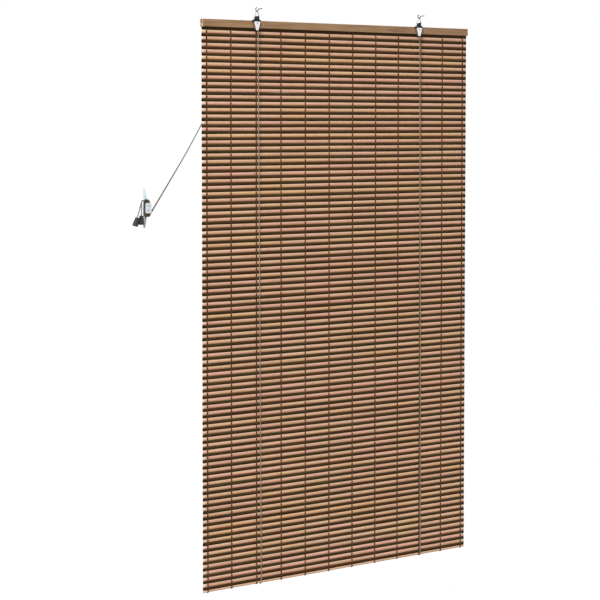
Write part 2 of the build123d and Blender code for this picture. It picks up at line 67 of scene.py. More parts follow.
# Camera, fitted to the blind's outline in the photograph
CAMERA_PLACE = (-3.798, -4.523, -0.315)
CAMERA_YAW = 38.82
CAMERA_PITCH = -3.34
CAMERA_LENS = 121.9
SENSOR_WIDTH = 36.0
CAMERA_SHIFT_Y = -0.0996

# Lamps, floor and surroundings
KEY_PLACE = (-4.3, -2.9, 4.1)
KEY_SIZE = 1.6
KEY_POWER = 500
BACK_PLACE = (3.4, 4.2, 3.6)
BACK_SIZE = 2.4
BACK_POWER = 430
FLOOR_DROP = 0.35
FLOOR_HALF = 3.4
FLOOR_GREY = 0.86
FLOOR_WHITE_SHARE = 0.95
WORLD_STRENGTH = 0.4

# Mat of light slats and dark sticks
STICK_COUNT = 88
STICK_HEIGHT_SHARE = 0.5
LIGHT_CREST_SHARE = 0.72
HEAD_ROWS = 2
ROW_OVERLAP = 0.45 * MM
ROW_JITTER = 0.12 * MM
SLAT_SIDES = 14
STICK_SIDES = 12
SLAT_POWER = 2.7
STICK_POWER = 2.1
SLAT_STEPS = 40
STICK_STEPS = 34
END_ROUND = 0.5 * MM
END_SIZE_SHARE = 0.8
END_JITTER = 0.45 * MM
END_FADE = 16 * MM
END_TONE_SHARES = (0.4, 1.0)
KNUCKLE_SPAN = 0.30
KNUCKLE_FIRST_SHARES = (0.1, 1.0)
KNUCKLE_NEXT_SHARES = (0.7, 1.3)
KNUCKLE_REACH = 2.6 * MM
KNUCKLE_STEP_SHARES = (-1, -0.35, 0, 0.35, 1)
KNUCKLE_END_GAP = 4 * KNUCKLE_REACH
KNUCKLE_RISE_SHARE = 0.14
KNUCKLE_TONE_SHARES = (0.1, 0.5)
SEED = 7

# Wander of a strip along its length, with the shortest and longest wave of each
BOW = 0.22 * MM
BOW_WAVES = (0.35, 1.3)
SWING = BOW / 2
SWING_WAVES = (0.3, 1.0)
THICKNESS_WANDER_SHARE = 0.03
THICKNESS_WAVES = (0.15, 0.6)
HEIGHT_WANDER_SHARE = 0.025
HEIGHT_WAVES = (0.12, 0.6)
TONE_SPREAD = 0.24
TONE_WANDER = 0.14
TONE_WAVES = (0.08, 0.5)
TINT_SPREAD = 0.3
TINT_WANDER = 0.22
TINT_WAVES = (0.12, 0.6)

# Warp threads, in columns on both sides of the blind's middle
THREAD_SPACING = 89.0 * MM
INNER_COLUMNS = 5
EDGE_THREAD_INSET = 16.0 * MM
YARN_HALF_WIDTH = 2.4 * MM
YARN_HALF_THICKNESS = 0.36 * MM
YARN_WAIST_SHARE = 0.3
YARN_SIDES = 10
YARN_SWAY = 0.25 * MM
YARN_STEPS = 4
KNOT_DROP = 1.4 * MM

# Cords
CORD_RADIUS = 1.3 * MM
CORD_SIDES = 12
CORD_STEP = 1.3 * MM
CORD_LAY = 9.0 * MM
CORD_STRANDS = 4
CORD_RELIEF_SHARE = 0.08
CORD_RESOLUTION = 24
CORD_SIDE_HINT = (0.31, 0.52, 0.79)

# Hooks and places on the cords' routes, in millimetres
HOOKS = {"left": -306.0, "right": 306.0}
WHEEL_Y = 11.1
WHEEL_TOP_Z = -34.6
GROOVE = 5.4
GUIDE_Z = -46.6
HEADER_BOTTOM_Z = -53.0
LIFT_X = 21.0
LIFT_FRONT_Y = 19.45
LIFT_BACK_Y = 27.55
LIFT_LOW_Z = -1633.6
LIFT_STEADY = 16.0
LIFT_LEAN_X = 0.16
LIFT_LEAN_Y = 0.08
WRAP_RIGHT_X = -674.6
WRAP_LEFT_X = -689.4
WRAP_LOW_Z = -570.9
WRAP_TOP_Z = -525.1
WRAP_STEADY = 14.8
WRAP_CROSS_SHARE = 0.32
LOOP_X = -701.3
LOOP_Z = -527.0

# Threads of the screw hooks
SCREW_PITCH = 1.6 * MM
SCREW_START_Y = -1.0 * MM
SCREW_END_Y = -17.2 * MM
SCREW_POINT_Y = -14.0 * MM
SCREW_CREST = 1.3 * MM
SCREW_CORE = 0.93 * MM
SCREW_ROOT_SHARE = 0.9
SCREW_FOOT_SHARE = 0.3
SCREW_TOP_SHARE = 0.06
SCREW_RUN_IN_SHARE = 0.25
SCREW_TURN_STEPS = 28

# Cleat's neck, between its base and its horns, which is painted dark as shade
NECK_MIDDLE_Y = 8.9 * MM
NECK_REACH = 6.0 * MM
HORN_FADE = 34 * MM

# Folded edges of the pulley plates, longer on the left than on the right
FOLD_FRONT_Y = 8.6 * MM
FOLD_BACK_Y = 15.4 * MM
FOLD_SHEET = 0.2 * MM
FOLD_HIGH_Z = -36.4 * MM
FOLD_LOW_Z = {-1: -56.4 * MM, 1: -45.5 * MM}
PLATE_TOP = -35.3 * MM
PLATE_TOP_HALF = 11.0 * MM
PLATE_LOW = -59.2 * MM
PLATE_LOW_HALF = 4.0 * MM

# Noise of the finishes, in waves a metre, along x, y and z where there are three
BAMBOO_STREAKS = (5, 420, 420)
BAMBOO_FIBRES = (45, 2600, 2600)
BAMBOO_PATCHES = (7, 60, 60)
TIMBER_GRAIN = (7, 260, 260)
TIMBER_LINES = (14, 1500, 1500)
TIMBER_PATCHES = 9.0
FIBRE_MOTTLE = 160.0
YARN_FUZZ = (900, 900, 260)
CORD_FUZZ = (1100, 1100, 500)
PLASTIC_MOTTLE = 420.0
PLASTIC_GRAIN = 3200.0
METAL_PATCHES = 260.0
PLATE_LINES = (1800, 400, 90)
EDGE_LINES = (900, 900, 900)
WIRE_LINES = (500, 500, 500)
BRASS_LINES = (200, 3000, 200)
PAINT_MOTTLE = 180.0
PAINT_PEEL = 1400.0

# Depths of the finishes' relief
BAMBOO_RELIEF = 0.4 * MM
TIMBER_RELIEF = 0.3 * MM
FIBRE_RELIEF = 0.3 * MM
PLASTIC_RELIEF = 0.1 * MM
METAL_RELIEF = 0.1 * MM
PAINT_RELIEF = 0.2 * MM

header_low, header_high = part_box("header_strip")
mat_low, mat_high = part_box("slat_mat")
slat_low, slat_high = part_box("bottom_slat")
cleat_low, cleat_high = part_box("cleat")
mat_mid_y = (mat_low.y + mat_high.y) / 2
half_thickness = (mat_high.y - mat_low.y) / 2
closing_half_thickness = (slat_high.y - slat_low.y) / 2
left_x, right_x = header_low.x, header_high.x
middle_x = (left_x + right_x) / 2
header_bottom = header_low.z


# Node helpers, where the owner of the nodes is a material or the world
def new_material(name):
    """A fresh node material and its Principled shader."""
    material = bpy.data.materials.new(name)
    material.use_nodes = True
    shader = material.node_tree.nodes["Principled BSDF"]
    return material, shader


def linear(red, green, blue):
    """A colour given in screen values from 0 to 255 as linear RGBA."""
    def channel(value):
        share = value / 255
        return share / 12.92 if share <= 0.04045 else ((share + 0.055) / 1.055) ** 2.4
    return (channel(red), channel(green), channel(blue), 1.0)


def add_node(owner, kind, **settings):
    """A node of that kind; settings name its properties or its input sockets."""
    node = owner.node_tree.nodes.new(kind)
    for key, value in settings.items():
        if hasattr(node, key):
            setattr(node, key, value)
        else:
            node.inputs[key.replace("_", " ")].default_value = value
    return node


def link(owner, source, target):
    """Join an output socket to an input socket."""
    owner.node_tree.links.new(source, target)


def noise(material, scale, detail=3.0, roughness=0.55, stretch=(1, 1, 1)):
    """Noise over the part's own frame in metres, stretched by the three axis scales."""
    place = add_node(material, "ShaderNodeTexCoord")
    mapping = add_node(material, "ShaderNodeMapping", Scale=stretch)
    link(material, place.outputs["Object"], mapping.inputs["Vector"])
    texture = add_node(material, "ShaderNodeTexNoise", Scale=scale, Detail=detail, Roughness=roughness)
    link(material, mapping.outputs["Vector"], texture.inputs["Vector"])
    return texture.outputs["Fac"]


def ramp(material, source, stops):
    """A colour ramp over the source, with (position, colour) stops."""
    node = add_node(material, "ShaderNodeValToRGB")
    elements = node.color_ramp.elements
    while len(elements) < len(stops):
        elements.new(0.5)
    for element, (position, colour) in zip(elements, stops):
        element.position = position
        element.color = colour
    link(material, source, node.inputs["Fac"])
    return node.outputs["Color"]


def mix(material, share, first, second):
    """Blend two colours by a share, each given as a value or a socket."""
    node = add_node(material, "ShaderNodeMix", data_type="RGBA")
    # Inputs 0, 6 and 7 are the share and the two colours, and output 2 is the blended one
    for socket, value in ((node.inputs[0], share), (node.inputs[6], first), (node.inputs[7], second)):
        if isinstance(value, bpy.types.NodeSocket):
            link(material, value, socket)
        else:
            socket.default_value = value
    return node.outputs[2]


def span(owner, source, low, high, start=0.0, stop=1.0):
    """The source's start to stop mapped to low to high."""
    node = add_node(owner, "ShaderNodeMapRange", From_Min=start, From_Max=stop, To_Min=low, To_Max=high)
    link(owner, source, node.inputs["Value"])
    return node.outputs["Result"]


def distance_share(material, source, middle, reach):
    """How far the source lies from the middle, as a share of the reach."""
    offset = add_node(material, "ShaderNodeMath", operation="SUBTRACT")
    link(material, source, offset.inputs[0])
    offset.inputs[1].default_value = middle
    size = add_node(material, "ShaderNodeMath", operation="ABSOLUTE")
    link(material, offset.outputs[0], size.inputs[0])
    share = add_node(material, "ShaderNodeMath", operation="DIVIDE")
    link(material, size.outputs[0], share.inputs[0])
    share.inputs[1].default_value = reach
    return share.outputs[0]


def attribute(material, name):
    """The value that a mesh keeps under that name at its points."""
    node = add_node(material, "ShaderNodeAttribute", attribute_name=name)
    return node.outputs["Fac"]


def bump(material, shader, source, strength, depth):
    """Relief from the source, as deep as depth."""
    node = add_node(material, "ShaderNodeBump", Strength=strength, Distance=depth)
    link(material, source, node.inputs["Height"])
    link(material, node.outputs["Normal"], shader.inputs["Normal"])


def seen_share(owner):
    """1 for the rays of the camera, mirrors and glass, and 0 for those that carry light."""
    path = add_node(owner, "ShaderNodeLightPath")
    seen = path.outputs["Is Camera Ray"]
    for kind in ("Is Glossy Ray", "Is Transmission Ray"):
        larger = add_node(owner, "ShaderNodeMath", operation="MAXIMUM")
        link(owner, seen, larger.inputs[0])
        link(owner, path.outputs[kind], larger.inputs[1])
        seen = larger.outputs[0]
    return seen


# Materials
def bamboo_material(name, tones, tints, edges, knuckle, end, roughness, specular):
    """Split bamboo: each piece's own tone and tint, streaks, fibres, painted shade towards the lower edge
    and painted highlight towards the upper edge, knuckles and ends.
    """
    dark, middle, light = tones
    cool, warm = tints
    lower, upper = edges
    material, shader = new_material(name)
    tone = ramp(material, attribute(material, "tone"), ((0.0, dark), (0.5, middle), (1.0, light)))
    tint = ramp(material, attribute(material, "tint"), ((0.0, cool), (0.5, middle), (1.0, warm)))
    tinted = mix(material, 0.6, tone, tint)
    streaks = noise(material, 1.0, 4.0, 0.6, BAMBOO_STREAKS)
    streaked = mix(material, span(material, streaks, -0.1, 0.55), tinted, dark)
    fibres = noise(material, 1.0, 3.0, 0.6, BAMBOO_FIBRES)
    fibred = mix(material, span(material, fibres, -0.1, 0.34), streaked, knuckle)
    patches = noise(material, 1.0, 2.0, 0.5, BAMBOO_PATCHES)
    patched = mix(material, span(material, patches, -0.2, 0.5), fibred, light)
    ended = mix(material, attribute(material, "end"), patched, end)
    # Painted shade over the lower half of each strip and painted highlight over its upper part, as if lit
    # from above
    height = attribute(material, "height")
    lower_shaded = mix(material, span(material, height, 0.9, 0.0, 0.0, 0.5), ended, lower)
    upper_lit = mix(material, span(material, height, 0.0, 0.5, 0.55, 1.0), lower_shaded, upper)
    ringed = mix(material, attribute(material, "knuckle"), upper_lit, knuckle)
    link(material, ringed, shader.inputs["Base Color"])
    link(material, span(material, fibres, roughness - 0.1, roughness + 0.15), shader.inputs["Roughness"])
    shader.inputs["Specular IOR Level"].default_value = specular
    bump(material, shader, fibres, 0.35, BAMBOO_RELIEF)
    return material


def wood_material():
    """Planed header timber with long grain, a few darker lines and paler ends."""
    material, shader = new_material("header_timber")
    grain = noise(material, 1.0, 5.0, 0.62, TIMBER_GRAIN)
    colour = ramp(material, grain, (
        (0.28, linear(112, 82, 56)), (0.48, linear(146, 115, 84)), (0.72, linear(164, 134, 102))))
    lines = noise(material, 1.0, 2.0, 0.5, TIMBER_LINES)
    lined = mix(material, span(material, lines, -0.1, 0.45), colour, linear(104, 76, 50))
    patches = noise(material, TIMBER_PATCHES, 2.0)
    shaded = mix(material, span(material, patches, -0.6, 0.9), lined, linear(162, 124, 92))
    facing = add_node(material, "ShaderNodeNewGeometry")
    parts = add_node(material, "ShaderNodeSeparateXYZ")
    link(material, facing.outputs["Normal"], parts.inputs[0])
    endwise = add_node(material, "ShaderNodeMath", operation="ABSOLUTE")
    link(material, parts.outputs["X"], endwise.inputs[0])
    ended = mix(material, endwise.outputs[0], shaded, linear(184, 148, 116))
    link(material, ended, shader.inputs["Base Color"])
    shader.inputs["Specular IOR Level"].default_value = 0.25
    link(material, span(material, lines, 0.5, 0.72), shader.inputs["Roughness"])
    bump(material, shader, lines, 0.3, TIMBER_RELIEF)
    return material


def fibre_material(name, dark, light, fuzz_waves):
    """Spun fibre for yarns and cords: mottled tone and a fine twist of threads."""
    material, shader = new_material(name)
    mottle = noise(material, FIBRE_MOTTLE)
    fuzz = noise(material, 1.0, 3.0, 0.6, fuzz_waves)
    colour = ramp(material, mottle, ((0.3, dark), (0.7, light)))
    worn = mix(material, span(material, fuzz, 0.0, 0.4), colour, dark)
    link(material, worn, shader.inputs["Base Color"])
    shader.inputs["Roughness"].default_value = 0.85
    shader.inputs["Specular IOR Level"].default_value = 0.15
    shader.inputs["Sheen Weight"].default_value = 0.1
    shader.inputs["Sheen Roughness"].default_value = 0.5
    bump(material, shader, fuzz, 0.5, FIBRE_RELIEF)
    return material


def plastic_material(name, colour, worn, roughness):
    """Moulded plastic: faint mottle, a fine moulded grain and scuffed lighter patches."""
    material, shader = new_material(name)
    mottle = noise(material, PLASTIC_MOTTLE, 4.0)
    tone = mix(material, span(material, mottle, 0.0, 0.35), colour, worn)
    grain = noise(material, PLASTIC_GRAIN, 2.0)
    link(material, tone, shader.inputs["Base Color"])
    shader.inputs["Specular IOR Level"].default_value = 0.3
    link(material, span(material, mottle, roughness - 0.08, roughness + 0.12), shader.inputs["Roughness"])
    bump(material, shader, grain, 0.15, PLASTIC_RELIEF)
    return material


def metal_material(name, colour, dull, roughness, line_waves):
    """Plated metal with brushed lines and dull patches."""
    material, shader = new_material(name)
    lines = noise(material, 1.0, 3.0, 0.6, line_waves)
    patches = noise(material, METAL_PATCHES)
    tone = mix(material, span(material, patches, 0.0, 0.6), colour, dull)
    link(material, tone, shader.inputs["Base Color"])
    shader.inputs["Metallic"].default_value = 1.0
    link(material, span(material, lines, roughness - 0.08, roughness + 0.14), shader.inputs["Roughness"])
    bump(material, shader, lines, 0.12, METAL_RELIEF)
    return material


def painted_material(middle_z):
    """Pale paint on cast metal: bluer at the upper horn, greyer at the lower one, and painted shade on the
    neck.
    """
    material, shader = new_material("cleat_paint")
    place = add_node(material, "ShaderNodeTexCoord")
    parts = add_node(material, "ShaderNodeSeparateXYZ")
    link(material, place.outputs["Object"], parts.inputs[0])
    upness = span(material, parts.outputs["Z"], 0.0, 1.0, middle_z - HORN_FADE, middle_z + HORN_FADE)
    paint = ramp(material, upness, (
        (0.1, linear(158, 159, 162)), (0.3, linear(206, 217, 226)), (0.7, linear(206, 217, 226)),
        (0.9, linear(196, 220, 228))))
    mottle = noise(material, PAINT_MOTTLE, 4.0)
    tone = mix(material, span(material, mottle, 0.0, 0.35), paint, linear(150, 162, 174))
    # Painted shade: the neck between the base and the horns, where the cords wind, is painted near black
    neck_shade_mask = ramp(material, distance_share(material, parts.outputs["Y"], NECK_MIDDLE_Y, NECK_REACH), (
        (0.985, linear(255, 255, 255)), (0.999, linear(0, 0, 0))))
    neck_shaded = mix(material, neck_shade_mask, tone, linear(27, 22, 19))
    link(material, neck_shaded, shader.inputs["Base Color"])
    link(material, span(material, mottle, 0.3, 0.5), shader.inputs["Roughness"])
    shader.inputs["Coat Weight"].default_value = 0.2
    shader.inputs["Coat Roughness"].default_value = 0.25
    peel = noise(material, PAINT_PEEL, 2.0)
    bump(material, shader, peel, 0.12, PAINT_RELIEF)
    return material


light_bamboo = bamboo_material(
    "light_bamboo",
    tones=(linear(178, 136, 104), linear(210, 168, 136), linear(230, 192, 162)),
    tints=(linear(222, 174, 108), linear(226, 156, 148)),
    # Painted shade for the lower edge and painted highlight for the upper edge
    edges=(linear(144, 90, 48), linear(230, 196, 172)),
    knuckle=linear(132, 90, 60), end=linear(228, 210, 186), roughness=0.5, specular=0.2)
dark_bamboo = bamboo_material(
    "dark_bamboo",
    tones=(linear(40, 28, 9), linear(60, 44, 17), linear(84, 64, 32)),
    tints=(linear(54, 54, 24), linear(76, 38, 12)),
    # Painted shade for the lower edge and painted highlight for the upper edge
    edges=(linear(30, 16, 5), linear(92, 76, 60)),
    knuckle=linear(26, 15, 5), end=linear(22, 13, 6), roughness=0.5, specular=0.04)
header_timber = wood_material()
yarn_fibre = fibre_material("yarn_fibre", linear(54, 25, 6), linear(92, 50, 19), YARN_FUZZ)
lift_fibre = fibre_material("lift_fibre", linear(104, 92, 72), linear(172, 158, 130), CORD_FUZZ)
# The pull cords run on from the lift cords over the wheels, in a darker colour than the lift cords: painted
# shade
cord_fibre = fibre_material("cord_fibre", linear(60, 52, 42), linear(112, 100, 84), CORD_FUZZ)
black_plastic = plastic_material("black_plastic", linear(17, 17, 23), linear(40, 41, 54), 0.38)
tassel_plastic = plastic_material("tassel_plastic", linear(30, 30, 32), linear(66, 66, 69), 0.32)
wheel_plastic = plastic_material("wheel_plastic", linear(196, 192, 182), linear(170, 166, 154), 0.35)
plate_metal = metal_material("plate_metal", linear(246, 247, 248), linear(222, 224, 226), 0.3, PLATE_LINES)
# The folds are the plates' own steel, given a darker tan than the plates: painted shade on the folded sides
fold_steel_shaded = metal_material("fold_steel_shaded", linear(176, 156, 138), linear(140, 122, 106), 0.5, EDGE_LINES)
zinc_metal = metal_material("zinc_metal", linear(186, 190, 196), linear(120, 124, 130), 0.3, WIRE_LINES)
ring_metal = metal_material("ring_metal", linear(134, 136, 140), linear(84, 86, 90), 0.3, WIRE_LINES)
# The hooks' zinc steel, given a darker colour than the nails and screws: painted shade
hook_steel_shaded = metal_material("hook_steel_shaded", linear(104, 106, 110), linear(48, 49, 52), 0.34, WIRE_LINES)
brass_metal = metal_material("brass_metal", linear(205, 172, 108), linear(150, 120, 70), 0.3, BRASS_LINES)
cleat_paint = painted_material((cleat_low.z + cleat_high.z) / 2)


# Mesh helpers
def mesh_object(name, points, faces, material, smooth=True, **values):
    """A mesh object in the part's frame, with point values kept as named attributes."""
    mesh = bpy.data.meshes.new(name)
    mesh.from_pydata([tuple(point) for point in points], [], faces)
    mesh.polygons.foreach_set("use_smooth", [smooth] * len(mesh.polygons))
    for key, numbers in values.items():
        layer = mesh.attributes.new(key, "FLOAT", "POINT")
        layer.data.foreach_set("value", np.asarray(numbers, np.float32))
    mesh.update()
    made = bpy.data.objects.new(name, mesh)
    bpy.context.collection.objects.link(made)
    mesh.materials.append(material)
    return made


def tube_faces(rings, sides, start):
    """Quads between successive rings of points, and a cap at each end."""
    faces = []
    for ring in range(rings - 1):
        base = start + ring * sides
        for side in range(sides):
            after = (side + 1) % sides
            faces.append((base + side, base + after, base + sides + after, base + sides + side))
    last = start + (rings - 1) * sides
    faces.append(tuple(start + side for side in reversed(range(sides))))
    faces.append(tuple(last + side for side in range(sides)))
    return faces


def directions(line):
    """Unit directions along a line of points."""
    along = np.gradient(line, axis=0)
    return along / np.linalg.norm(along, axis=1)[:, None]


def superellipse(sides, power):
    """Unit outline points (y, z) of a rounded rectangle."""
    outline = []
    for side in range(sides):
        angle = 2 * math.pi * (side + 0.5) / sides
        across, up = math.cos(angle), math.sin(angle)
        outline.append((math.copysign(abs(across) ** (2 / power), across),
                        math.copysign(abs(up) ** (2 / power), up)))
    return np.array(outline)


def wave(draw, xs, size, lengths):
    """A slow wander along x made of three sine waves, each between the two lengths."""
    total = np.zeros(len(xs))
    for part in range(3):
        length = draw.uniform(*lengths)
        total += size / (part + 1) * np.sin(2 * math.pi * (xs / length + draw.random()))
    return total


def knuckle_spots(draw, begin, end):
    """Places of the knuckles along a strip."""
    spots = []
    spot = begin + draw.uniform(*KNUCKLE_FIRST_SHARES) * KNUCKLE_SPAN
    while spot < end - KNUCKLE_END_GAP:
        spots.append(spot)
        spot += KNUCKLE_SPAN * draw.uniform(*KNUCKLE_NEXT_SHARES)
    return spots


def ring_places(begin, end, spots, steps):
    """Places of a strip's rings: its ends, even steps between them and closer ones at the knuckles."""
    places = list(np.linspace(begin + END_ROUND, end - END_ROUND, steps))
    places += [begin + END_FADE, end - END_FADE]
    places += [spot + KNUCKLE_REACH * share for spot in spots for share in KNUCKLE_STEP_SHARES]
    return np.array([begin] + sorted(places) + [end])


def strips(name, rows, sides, power, steps, material, draw):
    """All strips of one kind as one mesh, each slightly bowed, uneven and ringed by knuckles."""
    outline = superellipse(sides, power)
    heights = (outline[:, 1] + 1) / 2
    points, faces = [], []
    values = {"tone": [], "tint": [], "knuckle": [], "height": [], "end": []}
    for top_z, low_z, crest in rows:
        begin = left_x + draw.uniform(0, 2) * END_JITTER
        end = right_x - draw.uniform(0, 2) * END_JITTER
        spots = knuckle_spots(draw, begin, end)
        xs = ring_places(begin, end, spots, steps)
        ringed = np.zeros(len(xs))
        for spot in spots:
            ringed = np.maximum(ringed, np.clip(1 - np.abs(xs - spot) / KNUCKLE_REACH, 0, 1))
        half_height = (top_z - low_z) / 2 + ROW_OVERLAP
        scale = np.ones(len(xs))
        scale[[0, -1]] = END_SIZE_SHARE
        z = (top_z + low_z) / 2 + draw.uniform(-1, 1) * ROW_JITTER + wave(draw, xs, BOW, BOW_WAVES)
        y = mat_mid_y + draw.uniform(-1, 1) * ROW_JITTER + wave(draw, xs, SWING, SWING_WAVES)
        uneven = wave(draw, xs, THICKNESS_WANDER_SHARE, THICKNESS_WAVES)
        thick = crest * (1 + uneven + KNUCKLE_RISE_SHARE * ringed) * scale
        high = half_height * (1 + wave(draw, xs, HEIGHT_WANDER_SHARE, HEIGHT_WAVES)) * scale
        faces += tube_faces(len(xs), sides, len(points))
        for ring in range(len(xs)):
            for across, up in outline:
                points.append((xs[ring], y[ring] + thick[ring] * across, z[ring] + high[ring] * up))
        near_end = np.clip(1 - np.minimum(xs - begin, end - xs) / END_FADE, 0, 1)
        tone = draw.gauss(0.5, TONE_SPREAD) + wave(draw, xs, TONE_WANDER, TONE_WAVES)
        tint = draw.gauss(0.5, TINT_SPREAD) + wave(draw, xs, TINT_WANDER, TINT_WAVES)
        along = {
            "tone": np.clip(tone, 0, 1),
            "tint": np.clip(tint, 0, 1),
            "knuckle": ringed * draw.uniform(*KNUCKLE_TONE_SHARES),
            "end": near_end * draw.uniform(*END_TONE_SHARES),
        }
        for key, numbers in along.items():
            values[key] += list(np.repeat(numbers, sides))
        # Height across the strip, 0 at its lower edge and 1 at its upper edge, by which the material paints
        # shade and highlight
        values["height"] += list(np.tile(heights, len(xs)))
    return mesh_object(name, points, faces, material, **values)


# Rows of the mat from the top down, each with its crest, where the first are tucked into the header
draw = random.Random(SEED)
slat_share = 1 - STICK_HEIGHT_SHARE
pitch = (header_bottom - mat_low.z) / (STICK_COUNT - slat_share)
mat_rows = []
row_top = header_bottom + pitch
for index in range(HEAD_ROWS + 2 * STICK_COUNT - 1):
    is_stick = index % 2 == 0
    row_low = row_top - pitch * (STICK_HEIGHT_SHARE if is_stick else slat_share)
    mat_rows.append((row_top, row_low, half_thickness * (1 if is_stick else LIGHT_CREST_SHARE)))
    row_top = row_low

light_slats = strips("light_slats", mat_rows[1::2], SLAT_SIDES, SLAT_POWER, SLAT_STEPS, light_bamboo, draw)
dark_sticks = strips("dark_sticks", mat_rows[0::2], STICK_SIDES, STICK_POWER, STICK_STEPS, dark_bamboo, draw)
for piece in (light_slats, dark_sticks):
    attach(piece, "frame")
    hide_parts("slat_mat")
    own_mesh(piece)

closing_row = (slat_high.z - ROW_OVERLAP, slat_low.z + ROW_OVERLAP, closing_half_thickness)
closing_slat = strips("closing_slat", [closing_row], SLAT_SIDES, SLAT_POWER, SLAT_STEPS, light_bamboo, draw)
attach(closing_slat, "bottom_slat")
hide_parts("bottom_slat")


# Warp threads: two flat yarns a column that cross between the rows, one before and one behind each
def yarn_line(thread_x, first_side, rows):
    """Centreline of one yarn down the rows, changing faces at each, and the face that comes next."""
    line = []
    side = first_side
    for top_z, low_z, crest in rows:
        middle_z, half = (top_z + low_z) / 2, (top_z - low_z) / 2
        for step in range(YARN_STEPS):
            angle = math.pi * step / YARN_STEPS
            out = math.sin(angle) ** 0.5 * (crest + YARN_HALF_THICKNESS)
            sway = YARN_SWAY * math.cos(angle) * first_side * side
            line.append((thread_x + sway, mat_mid_y + side * out, middle_z + half * math.cos(angle)))
        side = -side
    line.append((thread_x, mat_mid_y, low_z))
    return np.array(line), side


def add_yarn(line, points, faces):
    """Add two-lobed rings round a centreline that runs down the mat, and the faces between them."""
    outward = np.cross(directions(line), (1.0, 0.0, 0.0))
    angles = 2 * math.pi * (np.arange(YARN_SIDES) + 0.5) / YARN_SIDES
    waist = 1 - YARN_WAIST_SHARE + YARN_WAIST_SHARE * 2 * np.abs(np.cos(angles))
    lobes = YARN_HALF_THICKNESS * np.sin(angles) * waist
    rings = line[:, None, :] + lobes[None, :, None] * outward[:, None, :]
    rings[:, :, 0] += YARN_HALF_WIDTH * np.cos(angles)
    faces += tube_faces(len(line), YARN_SIDES, len(points))
    points += list(rings.reshape(-1, 3))


thread_offsets = [THREAD_SPACING * (column + 0.5) for column in range(INNER_COLUMNS)]
thread_offsets.append((right_x - left_x) / 2 - EDGE_THREAD_INSET)
tie_row = (mat_low.z, slat_low.z - KNOT_DROP, closing_half_thickness)
for side_name, way in (("left", -1), ("right", 1)):
    yarn_points, yarn_faces = [], []
    tie_points, tie_faces = [], []
    for offset in thread_offsets:
        thread_x = middle_x + way * offset
        for first_side in (-1, 1):
            yarn, tie_side = yarn_line(thread_x, first_side, mat_rows[HEAD_ROWS:])
            tie, _ = yarn_line(thread_x, tie_side, [tie_row])
            add_yarn(yarn, yarn_points, yarn_faces)
            add_yarn(tie, tie_points, tie_faces)
    yarns = mesh_object(f"warp_yarns_{side_name}", yarn_points, yarn_faces, yarn_fibre)
    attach(yarns, "frame")
    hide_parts("warp_threads")
    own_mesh(yarns)
    ties = mesh_object(f"slat_ties_{side_name}", tie_points, tie_faces, yarn_fibre)
    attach(ties, "bottom_slat")


# Cords
def smooth_line(route):
    """Points in metres of the NURBS line whose control points are the route's, in millimetres."""
    curve = bpy.data.curves.new("route", "CURVE")
    curve.dimensions = "3D"
    curve.resolution_u = CORD_RESOLUTION
    spline = curve.splines.new("NURBS")
    spline.points.add(len(route) - 1)
    for point, place in zip(spline.points, route):
        point.co = (*[MM * value for value in place], 1.0)
    spline.order_u = 3
    spline.use_endpoint_u = True
    holder = bpy.data.objects.new("route", curve)
    mesh = bpy.data.meshes.new_from_object(holder)
    line = np.array([vertex.co for vertex in mesh.vertices], float)
    bpy.data.objects.remove(holder)
    bpy.data.meshes.remove(mesh)
    bpy.data.curves.remove(curve)
    return line


def even_line(line, step):
    """The same line at even steps along its length, and the length at each."""
    lengths = np.concatenate(([0.0], np.cumsum(np.linalg.norm(np.diff(line, axis=0), axis=1))))
    marks = np.linspace(0, lengths[-1], max(2, int(lengths[-1] / step)))
    return np.stack([np.interp(marks, lengths, line[:, axis]) for axis in range(3)], axis=1), marks


def sweep_cord(line, angles, radii):
    """Rings round a line that turns any way, with the side direction carried along it."""
    along = directions(line)
    # Any direction serves here that no cord starts along
    side = np.cross(along[0], CORD_SIDE_HINT)
    points = []
    for ring in range(len(line)):
        side = side - along[ring] * np.dot(side, along[ring])
        side /= np.linalg.norm(side)
        up = np.cross(along[ring], side)
        offsets = np.cos(angles)[:, None] * side + np.sin(angles)[:, None] * up
        points += list(line[ring] + radii[ring][:, None] * offsets)
    return points


def laid_cord(name, route, material):
    """A laid cord along the route, whose strands wind round it as a shallow relief, and its line."""
    line, marks = even_line(smooth_line(route), CORD_STEP)
    angles = 2 * math.pi * np.arange(CORD_SIDES) / CORD_SIDES
    turns = 2 * math.pi * marks / CORD_LAY
    relief = np.cos(CORD_STRANDS * angles[None, :] / 2 - turns[:, None]) ** 2
    radii = CORD_RADIUS * (1 - CORD_RELIEF_SHARE + CORD_RELIEF_SHARE * relief)
    points = sweep_cord(line, angles, radii)
    made = mesh_object(name, points, tube_faces(len(line), CORD_SIDES, 0), material)
    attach(made, "frame")
    return made, line


for side_name, hook_x in HOOKS.items():
    route = [
        (hook_x + GROOVE, WHEEL_Y, HEADER_BOTTOM_Z),
        (hook_x + LIFT_X - LIFT_LEAN_X, LIFT_FRONT_Y - LIFT_LEAN_Y, LIFT_LOW_Z + LIFT_STEADY),
        (hook_x + LIFT_X, LIFT_FRONT_Y, LIFT_LOW_Z),
        (hook_x + LIFT_X, LIFT_BACK_Y, LIFT_LOW_Z),
        (hook_x + LIFT_X, LIFT_BACK_Y, LIFT_LOW_Z + LIFT_STEADY),
        (hook_x + LIFT_X, LIFT_BACK_Y, HEADER_BOTTOM_Z),
    ]
    lift, _ = laid_cord(f"lift_line_{side_name}", route, lift_fibre)
    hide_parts(f"lift_cord_{side_name}")
    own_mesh(lift)


